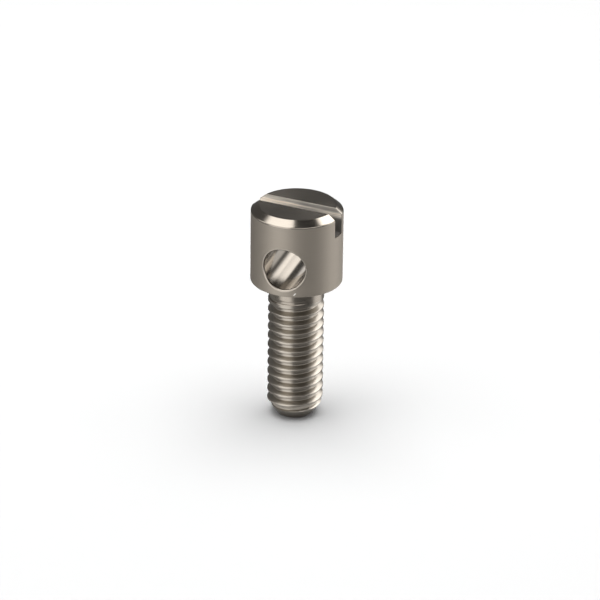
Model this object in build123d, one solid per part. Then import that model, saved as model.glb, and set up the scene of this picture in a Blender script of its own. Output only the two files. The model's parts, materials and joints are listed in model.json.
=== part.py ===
from build123d import *
from math import atan, degrees, radians, tan
import os

os.makedirs("parts", exist_ok=True)

# A sealing screw, turned in one piece from bar, standing on the flat end of its shank.
# The origin is the centre of that flat, Z runs up the shank and the wire hole runs along Y.

# Wire hole: drilled right through the head, low down, for the sealing wire.
hole_diameter = 3.0
hole_edge_break = 0.06
web_under_hole = 0.5

# Screwdriver slot: sawn across the top in a set-up of its own, so it isn't quite square to the hole.
slot_width = 1.1
slot_depth = 1.75
slot_turn = -8.0
web_over_hole = 0.45

# Head: a plain cylinder, tall enough for the hole and the slot, with a cone round its flat top.
head_diameter = 6.5
crown_width = 0.5
crown_drop = 0.41
crown_edge_round = 0.12

# Shank: a plain neck, the threaded length, and a coned end with a flat.
shank_length = 10.4
neck_length = 1.0
tip_diameter = 2.5
tip_length = 1.0

# Thread: M4 coarse, right hand. Its diameter is taken over the crests, inside the M4 tolerance.
thread_diameter = 3.97
pitch = 0.7
flank_angle = 60.0
crest_width = pitch / 6
root_width = pitch / 4
thread_start_turn = 180.0
runout_turns = 0.8
overlong_turns = 1.5
cut_clearance = 0.04

head_radius = head_diameter / 2
shank_radius = thread_diameter / 2
hole_radius = hole_diameter / 2
head_height = web_under_hole + hole_diameter + web_over_hole + slot_depth
top = shank_length + head_height
crown_foot = top - crown_drop
flank_slope = tan(radians(flank_angle / 2))
groove_depth = (pitch - crest_width - root_width) / 2 / flank_slope


def turned(*outline):
    """A solid of revolution: half a section, given as (radius, height) corners, turned about Z."""
    return revolve(Plane.XZ * make_face(Polyline(*outline, close=True)), Axis.Z)


def blank():
    """Head and shank as first turned. The shank is overlong, so that the thread runs past its end."""
    body = turned(
        (0, -overlong_turns * pitch),
        (shank_radius, -overlong_turns * pitch),
        (shank_radius, shank_length),
        (head_radius, shank_length),
        (head_radius, crown_foot),
        (head_radius - crown_width, top),
        (0, top),
    )
    rings = body.edges().filter_by(GeomType.CIRCLE)
    return fillet(rings.filter_by_position(Axis.Z, crown_foot, crown_foot), crown_edge_round)


def end_trim():
    """What the lathe takes off the threaded shank to leave the cone and the flat on its end."""
    flat_radius = tip_diameter / 2
    cone_height = (head_radius - flat_radius) * tip_length / (shank_radius - flat_radius)
    below = -2 * overlong_turns * pitch
    return turned((0, 0), (flat_radius, 0), (head_radius, cone_height), (head_radius, below), (0, below))


def wire_hole():
    """The drill's path along Y, clear of the head on both sides."""
    height = shank_length + web_under_hole + hole_radius
    middle = Plane(origin=(0, 0, height), z_dir=(0, 1, 0))
    return middle * Cylinder(hole_radius, 2 * head_diameter)


def drilled(body):
    """The body with its wire hole, and the sharp edge broken all round both mouths."""
    pierced = body - wire_hole()
    mouths = new_edges(body, combined=pierced).filter_by(GeomType.LINE, reverse=True)
    return chamfer(mouths, hole_edge_break)


def screwdriver_slot():
    """The saw's path across the top of the head."""
    path = Box(2 * head_diameter, slot_width, slot_depth, align=(Align.CENTER, Align.CENTER, Align.MAX))
    return Location((0, 0, top), (0, 0, slot_turn)) * path


def groove_section():
    """The thread groove's section, in the plane of the axis, with its mouth just clear of the crests."""
    root = shank_radius - groove_depth
    mouth = shank_radius + cut_clearance
    low = root_width / 2
    wide = low + (mouth - root) * flank_slope
    outline = Polyline((root, -low), (mouth, -wide), (mouth, wide), (root, low), close=True)
    return Plane.XZ * make_face(outline)


def thread_cuts():
    """The groove's two stretches: full depth from below the end, then rising until it leaves the shank."""
    full_height = shank_length - neck_length + (1 - runout_turns) * pitch
    runout_height = runout_turns * pitch
    rise = groove_depth + cut_clearance
    full = Helix(pitch, full_height, shank_radius)
    rising = Helix(pitch, runout_height, shank_radius, cone_angle=degrees(atan(rise / runout_height)))
    start = Location((0, 0, -pitch), (0, 0, thread_start_turn))
    joint = Location((0, 0, full_height), (0, 0, 360 * full_height / pitch))
    return [
        start * sweep(groove_section(), full, is_frenet=True),
        start * joint * sweep(groove_section(), rising, is_frenet=True),
    ]


def sealing_screw():
    """The finished screw: turned, drilled, slotted and threaded, with its end trimmed last."""
    screw = drilled(blank()) - screwdriver_slot()
    for cut in thread_cuts():
        screw -= cut
    screw -= end_trim()
    screw.label = "sealing_screw"
    return screw


export_step(sealing_screw(), "parts/sealing_screw.step")
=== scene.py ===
import json
import math

import bmesh
import bpy
import numpy as np
from mathutils import Matrix, Vector


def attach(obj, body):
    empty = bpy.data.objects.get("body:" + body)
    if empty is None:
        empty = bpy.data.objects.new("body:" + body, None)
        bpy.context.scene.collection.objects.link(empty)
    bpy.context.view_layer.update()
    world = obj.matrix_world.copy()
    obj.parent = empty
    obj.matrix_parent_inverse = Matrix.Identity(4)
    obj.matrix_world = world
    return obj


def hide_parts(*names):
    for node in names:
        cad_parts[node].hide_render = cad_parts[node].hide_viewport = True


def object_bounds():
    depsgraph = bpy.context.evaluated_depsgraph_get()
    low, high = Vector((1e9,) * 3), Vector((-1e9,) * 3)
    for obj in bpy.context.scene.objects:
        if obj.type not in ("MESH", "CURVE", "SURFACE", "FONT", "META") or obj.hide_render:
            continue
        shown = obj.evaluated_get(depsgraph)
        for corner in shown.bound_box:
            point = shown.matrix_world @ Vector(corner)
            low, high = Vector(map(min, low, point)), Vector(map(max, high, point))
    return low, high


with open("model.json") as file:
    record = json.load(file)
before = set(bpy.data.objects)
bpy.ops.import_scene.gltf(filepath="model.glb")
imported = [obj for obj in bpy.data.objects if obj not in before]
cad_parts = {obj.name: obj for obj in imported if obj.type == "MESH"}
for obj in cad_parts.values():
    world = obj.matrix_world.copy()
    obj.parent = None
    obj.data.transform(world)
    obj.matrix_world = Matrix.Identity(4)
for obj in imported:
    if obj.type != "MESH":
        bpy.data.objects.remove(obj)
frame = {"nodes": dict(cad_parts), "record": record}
cad_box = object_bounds()

# ---------------------------------------------------------------------------
# The head. Turned with the shank from one bar of stainless steel, with a shallow cone
# round its flat top, then drilled right through for the sealing wire and sawn across
# for a screwdriver. Lengths are in millimetres, in a frame whose X runs along the slot.

millimetres = 1000.0
mounts = {mount["name"]: mount for mount in frame["record"]["mounts"]}
head_radius = millimetres * (cad_box[1].x - cad_box[0].x) / 2
top = millimetres * cad_box[1].z
underside = millimetres * mounts["head_seat"]["pos_m"][2]
crown_width = 0.5
crown_drop = 0.41
crown_round = 0.12
crown_top_round = 0.03
foot_round = 0.05

slot_turn = -8.0
slot_width = 1.1
slot_depth = 1.75
slot_round = 0.05
slot_floor = top - slot_depth
slot_half = slot_width / 2
slot_lip = slot_half + slot_round

hole_radius = mounts["wire_hole"]["dims"]["r_mm"]
hole_height = millimetres * mounts["wire_hole"]["pos_m"][2]
hole_round = 0.15
mouth_radius = hole_radius + hole_round
hole_turn = math.radians(90 - slot_turn)
panel_reach = math.radians(40)

# The grids' lines. The wall has three runs of faces, from a lip of the slot to the panel round the
# hole's mouth, across the panel, and on to the other lip. A support line beside a rounding keeps
# the shading of the surface next to it flat. Lean is the angles of a quarter round's steps, and
# rise is the same angles as the rows of a grid.
shell_steps = (24, 40, 16)
notch_steps = 12
wall_steps = 6
level_steps = 15
support = 0.02
lean = np.radians(np.linspace(0, 90, 6))
rise = lean[:, None]

grids = []


def lay(points, finish):
    """Keeps a grid of points as part of the screw's skin, in one of its finishes."""
    grids.append((np.asarray(points, float), finish))


def lay_twice(points, finish):
    """Keeps a grid of the head, and the same grid half a turn on, because both its sides are alike."""
    lay(points, finish)
    lay(points * np.array([-1.0, -1.0, 1.0]), finish)


def place(x, y, z):
    """A grid of points from three arrays of coordinates that spread over each other."""
    return np.stack(np.broadcast_arrays(x, y, z), axis=-1).astype(float)


def ring(radius, turn, height):
    """A grid of points at these distances from the screw's axis, turned about it by these angles from X."""
    return place(radius * np.cos(turn), radius * np.sin(turn), height)


def blend(first, last, shares):
    """Rows that go straight from the first row of points to the last, at these shares of the way."""
    shares = np.asarray(shares, float)[:, None, None]
    return first * (1 - shares) + last * shares


def rounded(corners, radii, steps=5):
    """An outline of (radius, height) points whose inner corners are arcs tangent to both sides, with a
    support point beside each arc, and the outline's normals, which point to its right."""
    points = [corners[0]]
    for before, corner, after, radius in zip(corners, corners[1:], corners[2:], radii):
        here = np.array(corner)
        back = (before - here) / np.linalg.norm(before - here)
        ahead = (after - here) / np.linalg.norm(after - here)
        half = math.acos(back @ ahead) / 2
        setback = radius / math.tan(half)
        centre = here + (back + ahead) / np.linalg.norm(back + ahead) * radius / math.sin(half)
        start = here + back * setback - centre
        end = here + ahead * setback - centre
        sweep = math.pi - 2 * half
        share = np.linspace(0, 1, steps + 1)[:, None]
        arc = centre + (start * np.sin((1 - share) * sweep) + end * np.sin(share * sweep)) / math.sin(sweep)
        points += [here + back * (setback + support), *arc, here + ahead * (setback + support)]
    points = np.array([*points, corners[-1]])
    run = np.gradient(points, axis=0)
    normals = np.stack([run[:, 1], -run[:, 0]], axis=1)
    return points, normals / np.linalg.norm(normals, axis=1, keepdims=True)


# The angles of the grid's lines at the wall, from one lip of the slot round to the other, and those
# across the slot's open end.
lip_turn = math.asin(slot_lip / head_radius)
stops = (lip_turn, hole_turn - panel_reach, hole_turn + panel_reach, math.pi - lip_turn)
runs = [np.linspace(a, b, n + 1)[:-1] for a, b, n in zip(stops, stops[1:], shell_steps)]
shell_turns = np.append(np.concatenate(runs), stops[-1])
shell_shares = (shell_turns - lip_turn) / (math.pi - 2 * lip_turn)
notch_turns = np.linspace(-lip_turn, lip_turn, notch_steps + 1)

# Above the slot's floor: the wall, the cone and the start of the flat top, turned about Z.
crown_stub = 0.2
flat_stub = 0.1
crown_outline = np.array([
    (head_radius, top - crown_drop - crown_stub),
    (head_radius, top - crown_drop),
    (head_radius - crown_width, top),
    (head_radius - crown_width - flat_stub, top),
])
crown, crown_normals = rounded(crown_outline, (crown_round, crown_top_round))
wall_heights = np.linspace(slot_floor, crown[0, 1], wall_steps + 1)[:-1]
wall = np.stack([np.full(wall_heights.shape, head_radius), wall_heights], axis=1)
outline = np.concatenate([wall, crown])
outline_normals = np.concatenate([np.tile([1.0, 0.0], (len(wall), 1)), crown_normals])
radii, heights = outline[:, :1], outline[:, 1:]
lips = np.arcsin(slot_lip / radii)
shell = ring(radii, lips + shell_shares * (math.pi - 2 * lips), heights)
crown_start = len(wall) + 1
lay_twice(shell[: crown_start + 1], "turned")
lay_twice(shell[crown_start:], "coned")

# The flat top on one side of the slot, from its lip out to the cone.
chord_reach = math.sqrt(radii[-1, 0] ** 2 - slot_lip**2)
chord = place(chord_reach * np.cos(math.pi * np.linspace(0, 1, len(shell_turns))), slot_lip, top)
flat_shares = [0, 0.012, *np.linspace(0.08, 1, 12)]
lay_twice(blend(chord, shell[-1], flat_shares), "faced")

# The slot's lip: a quarter round from the head's surface over to the slot's wall, carried up one
# end, along the top and down the other end.
side = place(np.sqrt(radii[:, 0] ** 2 - slot_lip**2), slot_lip, heights[:, 0])
side_out = place(outline_normals[:, 0], 0, outline_normals[:, 1])
other_end = np.array([-1.0, 1.0, 1.0])
lip_path = np.concatenate([side, chord[1:-1], (side * other_end)[::-1]])
chord_out = np.tile([0.0, 0.0, 1.0], (len(chord) - 2, 1))
lip_out = np.concatenate([side_out, chord_out, (side_out * other_end)[::-1]])
across = np.array([0.0, 1.0, 0.0])
tilt = lean[:, None, None]
lip = lip_path + slot_round * (lip_out * (np.sin(tilt) - 1) - across * np.cos(tilt))
lay_twice(lip, "burred")

# The slot: two sawn walls and a floor, with a small landing at each end level with the floor.
rim = lip[0, len(wall): -len(wall)]
wall_shares = (np.append(wall_heights, crown[0, 1]) - slot_floor) / (crown[0, 1] - slot_floor)
lay_twice(place(rim[:, 0], slot_half, slot_floor + wall_shares[:, None] * (rim[:, 2] - slot_floor)), "sawn")
floor_y = np.linspace(-slot_half, slot_half, notch_steps + 1)
lay(place(rim[:, 0], floor_y[:, None], slot_floor), "sawn")
landing_x = rim[0, 0] * (1 - np.sin(rise)) + head_radius * np.cos(notch_turns) * np.sin(rise)
landing_y = floor_y * np.cos(rise) + head_radius * np.sin(notch_turns) * (1 - np.cos(rise))
lay_twice(place(landing_x, landing_y, slot_floor), "edge")

# Below the slot's floor: the wall, apart from the panel round each mouth of the wire hole.
foot_top = underside + foot_round
level = np.array([foot_top, *np.linspace(foot_top + support, slot_floor, level_steps + 1)])[:, None]
panel_start = shell_steps[0]
panel_end = panel_start + shell_steps[1]
for stretch in (notch_turns, shell_turns[: panel_start + 1], shell_turns[panel_end:]):
    lay_twice(ring(head_radius, stretch, level), "turned")


def along_hole(sideways, along, height):
    """Points given sideways from the wire hole's axis and along it, in the slot's frame."""
    turn = hole_turn - math.pi / 2
    x = sideways * math.cos(turn) - along * math.sin(turn)
    y = sideways * math.sin(turn) + along * math.cos(turn)
    return place(x, y, height)


# The panel's border as (sideways, height), once round against the clock, and the panel as straight
# lines from the mouth to it, laid on the head's cylinder.
reach = -head_radius * np.sin(shell_turns[panel_start: panel_end + 1] - hole_turn)
border = np.concatenate([
    np.stack([reach[::-1], np.full(reach.shape, level[0, 0])], axis=1)[:-1],
    np.stack([np.full(len(level), reach[0]), level[:, 0]], axis=1)[:-1],
    np.stack([reach, np.full(reach.shape, level[-1, 0])], axis=1)[:-1],
    np.stack([np.full(len(level), reach[-1]), level[::-1, 0]], axis=1),
])
spin = np.arctan2(border[:, 1] - hole_height, border[:, 0])
mouth = np.stack([mouth_radius * np.cos(spin), hole_height + mouth_radius * np.sin(spin)], axis=1)
panel_shares = [0, 0.05, *np.linspace(0.2, 1, 6)]
panel = blend(mouth, border, panel_shares)
lay_twice(along_hole(panel[..., 0], np.sqrt(head_radius**2 - panel[..., 0] ** 2), panel[..., 1]), "turned")

# The mouth's broken edge, a quarter round from the drilled wall out to the head's wall, and the
# drilled wall itself, straight through to the other mouth.
edge_radius = hole_radius + hole_round * (1 - np.cos(rise))
edge_sideways = edge_radius * np.cos(spin)
edge_along = np.sqrt((head_radius - hole_round * (1 - np.sin(rise))) ** 2 - edge_sideways**2)
lay_twice(along_hole(edge_sideways, edge_along, hole_height + edge_radius * np.sin(spin)), "edge")
bore_shares = np.array([1, 0.99, *np.linspace(0.94, -0.94, 31), -0.99, -1])[:, None]
bore_height = hole_height + hole_radius * np.sin(spin)
lay(along_hole(edge_sideways[0], bore_shares * edge_along[0], bore_height), "drilled")

# The foot of the wall, rounded over to the underside.
ring_half = np.concatenate([notch_turns[:-1], shell_turns[:-1]])
ring_turns = np.concatenate([ring_half, ring_half + math.pi, ring_half[:1] + 2 * math.pi])
foot_radius = head_radius - foot_round * (1 - np.sin(rise))
foot_height = underside + foot_round * (1 - np.cos(rise))
lay(ring(foot_radius, ring_turns, foot_height), "turned")

# ---------------------------------------------------------------------------
# The shank. A plain neck under the head, then a right-hand M4 thread, cut, which runs
# out into the neck, and a coned end with the flat that the screw stands on. The rows of
# its grid climb with the thread, so that every crest and root lies along one of them.

below_head = underside - 0.1
solid_points = frame["nodes"]["sealing_screw"].data.vertices
solid = np.empty(3 * len(solid_points), np.float32)
solid_points.foreach_get("co", solid)
solid = millimetres * solid.astype(float).reshape(-1, 3)
crest_radius = np.hypot(solid[:, 0], solid[:, 1])[solid[:, 2] < below_head].max()
pitch = 0.7
crest_width = pitch / 6
root_width = pitch / 4
flank = (pitch - crest_width - root_width) / 2
flank_slope = math.tan(math.radians(30))
root_radius = crest_radius - flank / flank_slope
corner_soft = 0.03
thread_turn = math.radians(180 - slot_turn)
thread_end = 9.4
runout_turns = 0.8
cut_clearance = 0.04
tip_radius = 1.25
tip_length = 1.0
tip_round = 0.03
pitches_up = 13
around = len(ring_turns) - 1
share = np.linspace(0, 1, around + 1)
helix_turns = thread_turn + 2 * math.pi * share


def lesser(a, b, soft):
    """The smaller of two values, going from one to the other in a smooth arc where they are within soft."""
    mix = np.clip(0.5 + 0.5 * (b - a) / soft, 0, 1)
    return b + (a - b) * mix - soft * mix * (1 - mix)


def shank_radius(share, height):
    """The radius at this share of a turn from the thread's start and this height: the crests' cylinder, cut
    by the cone of the end and by a V groove with a flat root, which lifts out of the metal over its
    run-out."""
    passes = np.round((height - pitch * share) / pitch)
    centre = pitch * (share + passes)
    aside = np.abs(height - centre)
    lift = np.clip(1 - (thread_end - centre) / (runout_turns * pitch), 0, 1)
    root = root_radius + lift * (crest_radius - root_radius + cut_clearance)
    groove = -lesser(-root - (aside - root_width / 2) / flank_slope, -root, corner_soft)
    cone = tip_radius + (crest_radius - tip_radius) * height / tip_length
    return lesser(lesser(groove, crest_radius, corner_soft), cone, corner_soft)


# The rows within a pitch, from the middle of a crest: five across each soft corner and two on a flank.
corner_rows = corner_soft * flank_slope * np.array([-1.3, -0.6, 0.0, 0.6, 1.3])
flank_rows = flank * np.array([0.35, 0.65])
half_rows = np.array([0, *(crest_width / 2 + corner_rows), *(crest_width / 2 + flank_rows),
                      *(pitch / 2 - root_width / 2 + corner_rows), pitch / 2])
half_rows = np.unique(np.clip(half_rows, 0, pitch / 2))
pitch_rows = np.concatenate([half_rows[:-1], pitch - half_rows[:0:-1]])
climb = (np.arange(pitches_up)[:, None] * pitch + pitch_rows).ravel()[:, None]
lead_in = pitch_rows[:, None] * share
lead_out = pitches_up * pitch + pitch_rows[:, None] + (pitch - pitch_rows[:, None]) * share
last_row = np.full((1, around + 1), (pitches_up + 1) * pitch)
height = pitch / 2 + np.concatenate([lead_in, climb + pitch * share, lead_out, last_row])
radius = shank_radius(share, height)
thread = ring(radius, helix_turns, height)
thread_top = np.searchsorted(height[:, 0], thread_end - runout_turns * pitch)
lay(thread[: thread_top + 1], "threaded")
lay(thread[thread_top:], "necked")

# The neck, and the underside out to the foot of the head's wall.
neck_root = ring(crest_radius, helix_turns, underside)
lay(blend(thread[-1], neck_root, np.linspace(0, 1, 4)), "necked")
start = np.argmin(np.abs(ring_turns[:-1] - helix_turns[0]))
foot_turns = np.append(np.roll(ring_turns[:-1], -start), ring_turns[start])
foot = ring(head_radius - foot_round, foot_turns, underside)
seat_shares = [0, 0.25, 0.5, 0.75, 0.985, 1]
lay(blend(neck_root, foot, seat_shares), "faced")

# The end: a flat with a softened rim, and the cone up to the first row of the thread's grid.
end_corners = np.array([(0, 0), (tip_radius, 0), (radius[0].mean(), height[0, 0])])
end_outline = rounded(end_corners, (tip_round,))[0][:-1]
end = ring(end_outline[:, :1], helix_turns, end_outline[:, 1:])
lay(end[:2], "faced")
lay(end[1:], "necked")
lay(blend(end[-1], thread[0], np.linspace(0, 1, 7)), "necked")

# ---------------------------------------------------------------------------
# The steel. One bar of stainless throughout, but each tool leaves its own marks and shine:
# rings from the lathe, streaks from the saw and the drill. The thread and the slot's lips
# are painted a little brighter than the turned wall, as painted light, and the slot's sawn walls
# are painted brightest, with bands of painted light and painted shade.


class Value:
    """A socket of the nodes, on which Python's signs add Math nodes."""

    def __init__(self, nodes, socket):
        self.nodes = nodes
        self.socket = socket

    def joined(self, operation, first, second):
        return self.nodes.add("Math", {"operation": operation}, {0: first, 1: second})

    def __add__(self, other):
        return self.joined("ADD", self, other)

    def __sub__(self, other):
        return self.joined("SUBTRACT", self, other)

    def __rsub__(self, other):
        return self.joined("SUBTRACT", other, self)

    def __mul__(self, other):
        return self.joined("MULTIPLY", self, other)

    __radd__ = __add__
    __rmul__ = __mul__


class Nodes:
    """The nodes of their owner, which is a material or the world."""

    def __init__(self, owner):
        self.owner = owner
        self.owner.use_nodes = True
        self.tree = owner.node_tree
        self.tree.nodes.clear()

    def add(self, kind, settings=(), sockets=(), output=0):
        """Adds a node of a kind, with its settings, then with the values or links of its sockets."""
        node = self.tree.nodes.new("ShaderNode" + kind)
        for name, setting in dict(settings).items():
            setattr(node, name, setting)
        for name, value in dict(sockets).items():
            if isinstance(value, Value):
                self.tree.links.new(value.socket, node.inputs[name])
            else:
                node.inputs[name].default_value = value
        return Value(self, node.outputs[output]) if node.outputs else None

    def ramp(self, value, start, end):
        """Goes smoothly from 0 where the value is start to 1 where it is end, whichever is the larger."""
        rising = end > start
        return self.add("MapRange", {"interpolation_type": "SMOOTHSTEP"}, {
            "Value": value, "From Min": min(start, end), "From Max": max(start, end),
            "To Min": float(not rising), "To Max": float(rising),
        })


steel_colour = (0.42, 0.376, 0.322)
# The thread and the slot's lips are painted a little lighter than the rest of the steel, as painted light.
lit_steel_colour = (0.46, 0.42, 0.365)
# The sawn walls are painted far lighter than the other steel, as painted light.
sawn_lit_colour = (0.98, 0.93, 0.86)
# The scratch's pale colour is a painted glint: a highlight painted onto a small scratch.
scratch_glint_colour = (0.98, 0.95, 0.9)

cloud_pattern = (0.5, 0.5, 0.5)
cloud_share = 0.3
cloud_roughness = 0.06


def steel(name, marks, roughness, rough_marks, depth, anisotropy=0.0, bright=steel_colour,
          contrast=0.8, scratch_glint_mask=None):
    """Bare steel with tool marks. Marks is a function of the nodes that gives the marks' height, 0 to 1.
    The marks roughen the surface by rough_marks, stand up by depth in millimetres, and have the bright
    colour on their crests and the contrast's share of it in their hollows. Faint clouds vary the colour
    and the shine, and the last argument is a function that gives 1 where the steel is scratched and a
    painted glint is laid on in pale colour."""
    nodes = Nodes(bpy.data.materials.new(name))
    height = marks(nodes)
    cloud = noise(nodes, place_in_mm(nodes), cloud_pattern)
    hollow = [contrast * part for part in bright]
    colour = nodes.add("Mix", {"data_type": "RGBA"}, {
        0: (1 - cloud_share) * height + cloud_share * cloud, 6: (*hollow, 1), 7: (*bright, 1),
    }, 2)
    if scratch_glint_mask:
        colour = nodes.add("Mix", {"data_type": "RGBA"}, {
            0: scratch_glint_mask(nodes), 6: colour, 7: (*scratch_glint_colour, 1),
        }, 2)
    bump = nodes.add("Bump", {}, {"Strength": 1.0, "Distance": depth / millimetres, "Height": height})
    surface = nodes.add("BsdfPrincipled", {}, {
        "Base Color": colour,
        "Metallic": 1.0,
        "Roughness": roughness + rough_marks * (height - 0.5) + cloud_roughness * (cloud - 0.5),
        "Anisotropic": anisotropy,
        "Anisotropic Rotation": 0.25,
        "Normal": bump,
    })
    nodes.add("OutputMaterial", {}, {"Surface": surface})
    return nodes.owner


def place_in_mm(nodes):
    """The point on the screw, in millimetres."""
    coordinates = nodes.add("TexCoord", {}, {}, "Object")
    return nodes.add("VectorMath", {"operation": "SCALE"}, {0: coordinates, "Scale": millimetres})


def noise(nodes, vector, pattern):
    """Noise from 0 to 1 on a vector, with this many patches to the millimetre along X, Y and Z."""
    scaled = nodes.add("VectorMath", {"operation": "MULTIPLY"}, {0: vector, 1: pattern})
    return nodes.add("TexNoise", {}, {"Vector": scaled, "Scale": 1.0, "Detail": 3.0, "Roughness": 0.6})


def lathe_rings(nodes):
    """Fine rings round the wall, close together up the axis and long round it."""
    return noise(nodes, place_in_mm(nodes), (0.7, 0.7, 22.0))


def facing_rings(nodes):
    """Fine rings round the axis on a face across it, from the distance to the axis."""
    flat = nodes.add("VectorMath", {"operation": "MULTIPLY"}, {0: place_in_mm(nodes), 1: (1, 1, 0)})
    from_axis = nodes.add("VectorMath", {"operation": "LENGTH"}, {0: flat}, "Value")
    rings = nodes.add("CombineXYZ", {}, {"X": from_axis * 16.0, "Y": 0.0, "Z": 0.0})
    spread = nodes.add("VectorMath", {"operation": "MULTIPLY_ADD"}, {0: flat, 1: (0.3, 0.3, 0), 2: rings})
    return noise(nodes, spread, (1, 1, 1))


def drill_streaks(nodes):
    """Rings round the wire hole, which runs along Y."""
    return noise(nodes, place_in_mm(nodes), (1.2, 9.0, 1.2))


streak_contrast = 3.0
# Painted light and shade on the slot's walls: painted shade towards the bottom, and painted light in a band
# under the top and towards one end.
painted_shade_below = (top - 0.9, top - 0.6)
painted_light_band = (top - 0.22, top - 0.38)
painted_light_end = (0.6, -2.2)
painted_light_shares = (0.3, 0.6, 0.6)


def saw_streaks_and_painted_light(nodes):
    """Streaks along the slot, fine across it and up its walls, with painted light and painted shade on
    them. Painted shade darkens them towards the slot's floor, and painted light brightens a band under the
    top: a share of the brightness all over the band, another in its lower part, and another towards one end
    of the slot."""
    turned = nodes.add("Mapping", {}, {
        "Vector": place_in_mm(nodes), "Rotation": (0, 0, math.radians(-slot_turn)),
    })
    streaks = streak_contrast * (noise(nodes, turned, (0.35, 7.0, 7.0)) - 0.5) + 1.0
    along = nodes.add("SeparateXYZ", {}, {"Vector": turned}, "X")
    height = nodes.add("SeparateXYZ", {}, {"Vector": turned}, "Z")
    whole, lower, lit_end = painted_light_shares
    painted_light = whole + lower * nodes.ramp(height, *painted_light_band) + lit_end * nodes.ramp(along, *painted_light_end)
    return streaks * nodes.ramp(height, *painted_shade_below) * painted_light


# Where the scratch with its painted glint lies on the head's wall, and its axes.
scratch_turn = math.radians(-74.87)
scratch_height = 10.64
scratch_lean = math.radians(48)
scratch_reach = (0.16, 0.055, 1.0)
scratch_out = Vector((math.cos(scratch_turn), math.sin(scratch_turn), 0))
scratch_right = Vector((-math.sin(scratch_turn), math.cos(scratch_turn), 0))
scratch_up = Vector((0, 0, 1))
scratch_place = head_radius * scratch_out + scratch_height * scratch_up
scratch_axes = (
    math.cos(scratch_lean) * scratch_right + math.sin(scratch_lean) * scratch_up,
    math.cos(scratch_lean) * scratch_up - math.sin(scratch_lean) * scratch_right,
    scratch_out,
)


def scratch_glint(nodes):
    """A scratch low on the head's wall, painted pale as a painted glint, 0.3 mm long and a third as wide,
    rising
    to the right: 1 on it, and 0 where the squares of the distances along, across and out of it, each over
    its reach, add up to 1 or more."""
    offset = nodes.add("VectorMath", {"operation": "SUBTRACT"}, {0: place_in_mm(nodes), 1: scratch_place})
    spread = 0.0
    for direction, reach in zip(scratch_axes, scratch_reach):
        part = nodes.add("VectorMath", {"operation": "DOT_PRODUCT"}, {0: offset, 1: direction}, "Value")
        spread = part * part * (1 / reach**2) + spread
    return 1.0 - nodes.ramp(spread, 0.3, 1.0)


finishes = {
    "turned": steel("steel_turned", lathe_rings, roughness=0.6, rough_marks=0.08, depth=0.001,
                    anisotropy=0.3, scratch_glint_mask=scratch_glint),
    "coned": steel("steel_coned", lathe_rings, roughness=0.16, rough_marks=0.05, depth=0.0003),
    "faced": steel("steel_faced", facing_rings, roughness=0.24, rough_marks=0.05, depth=0.0004,
                   anisotropy=0.5),
    "edge": steel("steel_edge", lathe_rings, roughness=0.28, rough_marks=0.05, depth=0.0005),
    "sawn": steel("steel_sawn", saw_streaks_and_painted_light, roughness=0.8, rough_marks=0.2, depth=0.004,
                  bright=sawn_lit_colour, contrast=0.14),
    "burred": steel("steel_burred", lathe_rings, roughness=0.6, rough_marks=0.1, depth=0.001,
                    bright=lit_steel_colour),
    "drilled": steel("steel_drilled", drill_streaks, roughness=0.16, rough_marks=0.06, depth=0.0004),
    "necked": steel("steel_necked", lathe_rings, roughness=0.28, rough_marks=0.08, depth=0.001),
    "threaded": steel("steel_threaded", lathe_rings, roughness=0.3, rough_marks=0.08, depth=0.001,
                      bright=lit_steel_colour),
}
merge_reach = 2e-5
sharp_angle = math.radians(40)


def quads_between(rows, columns):
    """The faces between neighbouring points of a grid whose points are counted along its rows."""
    index = np.arange(rows * columns).reshape(rows, columns)
    corners = (index[:-1, :-1], index[:-1, 1:], index[1:, 1:], index[1:, :-1])
    return np.stack(corners, axis=-1).reshape(-1, 4)


def skinned(name):
    """One closed mesh from all the grids, with their common points merged, in metres and turned from the
    slot's frame to the model's."""
    faces = []
    kinds = []
    offset = 0
    for grid, finish in grids:
        quads = quads_between(*grid.shape[:2])
        faces.append(offset + quads)
        kinds.append(np.full(len(quads), list(finishes).index(finish)))
        offset += grid.shape[0] * grid.shape[1]
    points = np.concatenate([grid.reshape(-1, 3) for grid, _ in grids])
    mesh = bpy.data.meshes.new(name)
    mesh.from_pydata(points.tolist(), [], np.concatenate(faces).tolist())
    for material in finishes.values():
        mesh.materials.append(material)
    mesh.polygons.foreach_set("material_index", np.concatenate(kinds))
    shape = bmesh.new()
    shape.from_mesh(mesh)
    bmesh.ops.remove_doubles(shape, verts=shape.verts, dist=merge_reach)
    bmesh.ops.recalc_face_normals(shape, faces=shape.faces)
    to_model = Matrix.Rotation(math.radians(slot_turn), 4, "Z") @ Matrix.Scale(1 / millimetres, 4)
    bmesh.ops.transform(shape, matrix=to_model, verts=shape.verts)
    shape.to_mesh(mesh)
    shape.free()
    mesh.shade_smooth()
    mesh.set_sharp_from_angle(angle=sharp_angle)
    screw = bpy.data.objects.new(name, mesh)
    bpy.context.scene.collection.objects.link(screw)
    return screw


screw = skinned("sealing_screw_turned")
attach(screw, "root")
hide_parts("sealing_screw")

# ---------------------------------------------------------------------------
# The studio floor. Plain and matt, a grey that its own strong lights turn pale. Of the
# floor, the steel mirrors only the small disc under the screw. Elsewhere it mirrors the
# lower part of the room.

near_reach = 0.004
floor_grey = 0.122
floor_nodes = Nodes(bpy.data.materials.new("studio_floor"))
floor_surface = floor_nodes.add("BsdfPrincipled", {}, {
    "Base Color": (floor_grey, floor_grey, floor_grey, 1), "Roughness": 1.0, "Specular IOR Level": 0.0,
})
floor_nodes.add("OutputMaterial", {}, {"Surface": floor_surface})


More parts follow.
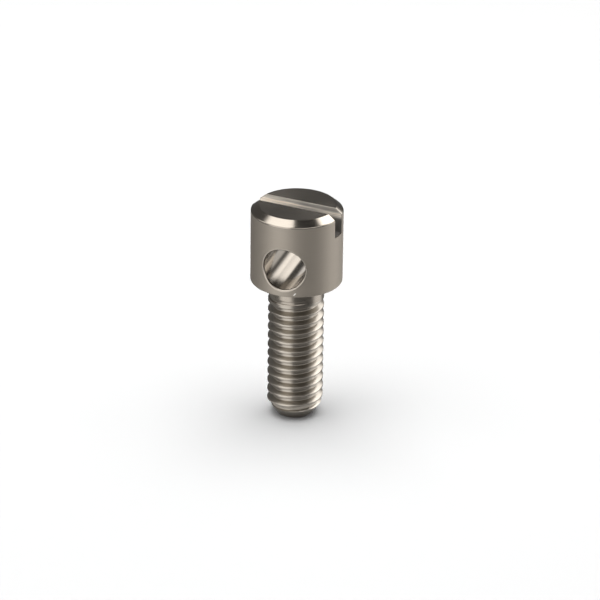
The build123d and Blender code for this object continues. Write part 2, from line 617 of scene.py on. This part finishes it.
def floor_part(name, radii):
    """A flat part of the floor round the screw, as rings of points at these radii in metres, the outer one
    first so that it faces up."""
    points = ring(np.array(radii)[:, None], np.linspace(0, 2 * math.pi, 97), 0)
    mesh = bpy.data.meshes.new(name)
    mesh.from_pydata(points.reshape(-1, 3).tolist(), [], quads_between(*points.shape[:2]).tolist())
    mesh.materials.append(floor_nodes.owner)
    part = bpy.data.objects.new(name, mesh)
    bpy.context.scene.collection.objects.link(part)
    return part


floor_part("studio_floor_near", (near_reach, 0.0))
far_floor = floor_part("studio_floor", (2.0, 0.1, near_reach))
far_floor.visible_glossy = False
far_floor.visible_shadow = False

# ---------------------------------------------------------------------------
# The camera, with a long lens, and the directions that it gives: rightwards across its view,
# along the floor towards it, and up. The lights are placed by these.

view_turn = math.radians(17)
view_height = math.radians(25.4)
view_roll = math.radians(0.75)
view_distance = 0.2589
aim_right = 0.000275
aim_up = 0.00869
rightwards = Vector((math.cos(view_turn), math.sin(view_turn), 0))
towards = Vector((math.sin(view_turn), -math.cos(view_turn), 0))
upwards = Vector((0, 0, 1))
aim = aim_right * rightwards + aim_up * upwards
back = math.cos(view_height) * towards + math.sin(view_height) * upwards
camera = bpy.data.objects.new("camera", bpy.data.cameras.new("camera"))
camera.data.lens = 220
camera.data.sensor_width = 36
camera.data.clip_start = 0.01
camera.data.clip_end = 10
facing = back.to_track_quat("Z", "Y").to_matrix().to_4x4() @ Matrix.Rotation(view_roll, 4, "Z")
camera.matrix_world = Matrix.Translation(aim + view_distance * back) @ facing
bpy.context.scene.collection.objects.link(camera)
bpy.context.scene.camera = camera
bpy.context.scene.view_settings.view_transform = "Standard"

# ---------------------------------------------------------------------------
# The lights. Four square ones wash the floor alone. The steel mirrors the room, which is dim,
# with soft bright areas where a studio has its softboxes and its white boards.

wash_distance = 0.3


def wash(name, direction, size, radiance):
    """A square light for the floor alone, aimed at the screw from this direction: rightwards, towards the
    camera and up. The steel doesn't mirror it."""
    lamp = bpy.data.lights.new(name, "AREA")
    lamp.shape = "SQUARE"
    lamp.size = size
    lamp.energy = radiance * math.pi * size**2
    box = bpy.data.objects.new(name, lamp)
    out = (direction[0] * rightwards + direction[1] * towards + direction[2] * upwards).normalized()
    facing = out.to_track_quat("Z", "Y").to_matrix().to_4x4()
    box.matrix_world = Matrix.Translation(out * wash_distance) @ facing
    box.visible_camera = False
    box.visible_glossy = False
    bpy.context.scene.collection.objects.link(box)


wash("wash_above", direction=(0.0, -0.14, 1.0), size=0.27, radiance=21.5)
wash("wash_wide", direction=(0.0, -0.1, 1.0), size=0.5, radiance=5.0)
wash("wash_left", direction=(-0.8, 0.15, 0.8), size=0.2, radiance=4.5)
wash("wash_right", direction=(0.8, 0.15, 0.8), size=0.2, radiance=2.4)

room = Nodes(bpy.data.worlds.new("studio"))
ray = room.add("TexCoord", {}, {}, "Generated")
right_part = room.add("VectorMath", {"operation": "DOT_PRODUCT"}, {0: ray, 1: rightwards}, "Value")
near_part = room.add("VectorMath", {"operation": "DOT_PRODUCT"}, {0: ray, 1: towards}, "Value")
up_part = room.add("VectorMath", {"operation": "DOT_PRODUCT"}, {0: ray, 1: upwards}, "Value")
bearing = room.add("Math", {"operation": "ARCTAN2"}, {0: right_part, 1: near_part}) * math.degrees(1)
elevation = room.add("Math", {"operation": "ARCSINE"}, {0: up_part}) * math.degrees(1)

# Each softbox has its brightness, then in degrees the bearings and the elevations that it lies
# between and the softness of its edge. The bearing is 0 towards the camera and 90 to the right.
softboxes = {
    "high_left": (2.6, (-110, -22), (42, 96), 6),
    "high_right": (3.8, (87, 135), (24, 58), 5),
    "over_left_rear": (1.1, (-150, -108), (55, 96), 6),
    "over_right_rear": (1.3, (100, 150), (62, 96), 6),
    "front": (1.45, (-108, 100), (4, 34), 8),
    "low_left": (1.3, (-70, -18), (-60, 10), 6),
    "low_right": (1.2, (78, 125), (-60, 10), 12),
    "low_far_left": (0.1, (-135, -80), (-60, 10), 6),
    "rear_right_strip": (2.3, (136, 147), (10, 42), 4),
    "rear_right": (2.3, (146, 169), (26, 44), 3),
    "rear_right_board": (0.7, (125, 150), (-18, 1), 3),
    "rear_left_strip": (1.2, (-178, -166), (4, 18), 3),
}
dim_room = 0.06
back_wall = 0.06
ground = 0.05
ground_below = 0.3


def softbox(bearings, elevations, soft):
    """1 between two bearings and between two elevations. Each edge falls to 0 smoothly, from the softness
    within it to the softness beyond it."""
    patch = 1.0
    for angle, (low, high) in ((bearing, bearings), (elevation, elevations)):
        patch = patch * room.ramp(angle, low - soft, low + soft)
        patch = patch * room.ramp(angle, high + soft, high - soft)
    return patch


light = dim_room + back_wall * room.ramp(near_part, -0.1, -0.4)
light = light + ground * room.ramp(elevation, 0, -20) + ground_below * room.ramp(elevation, -45, -58)
for brightness, bearings, elevations, soft in softboxes.values():
    light = light + brightness * softbox(bearings, elevations, soft)
background = room.add("Background", {}, {"Color": (1, 1, 1, 1), "Strength": light})
room.add("OutputWorld", {}, {"Surface": background})
bpy.context.scene.world = room.owner
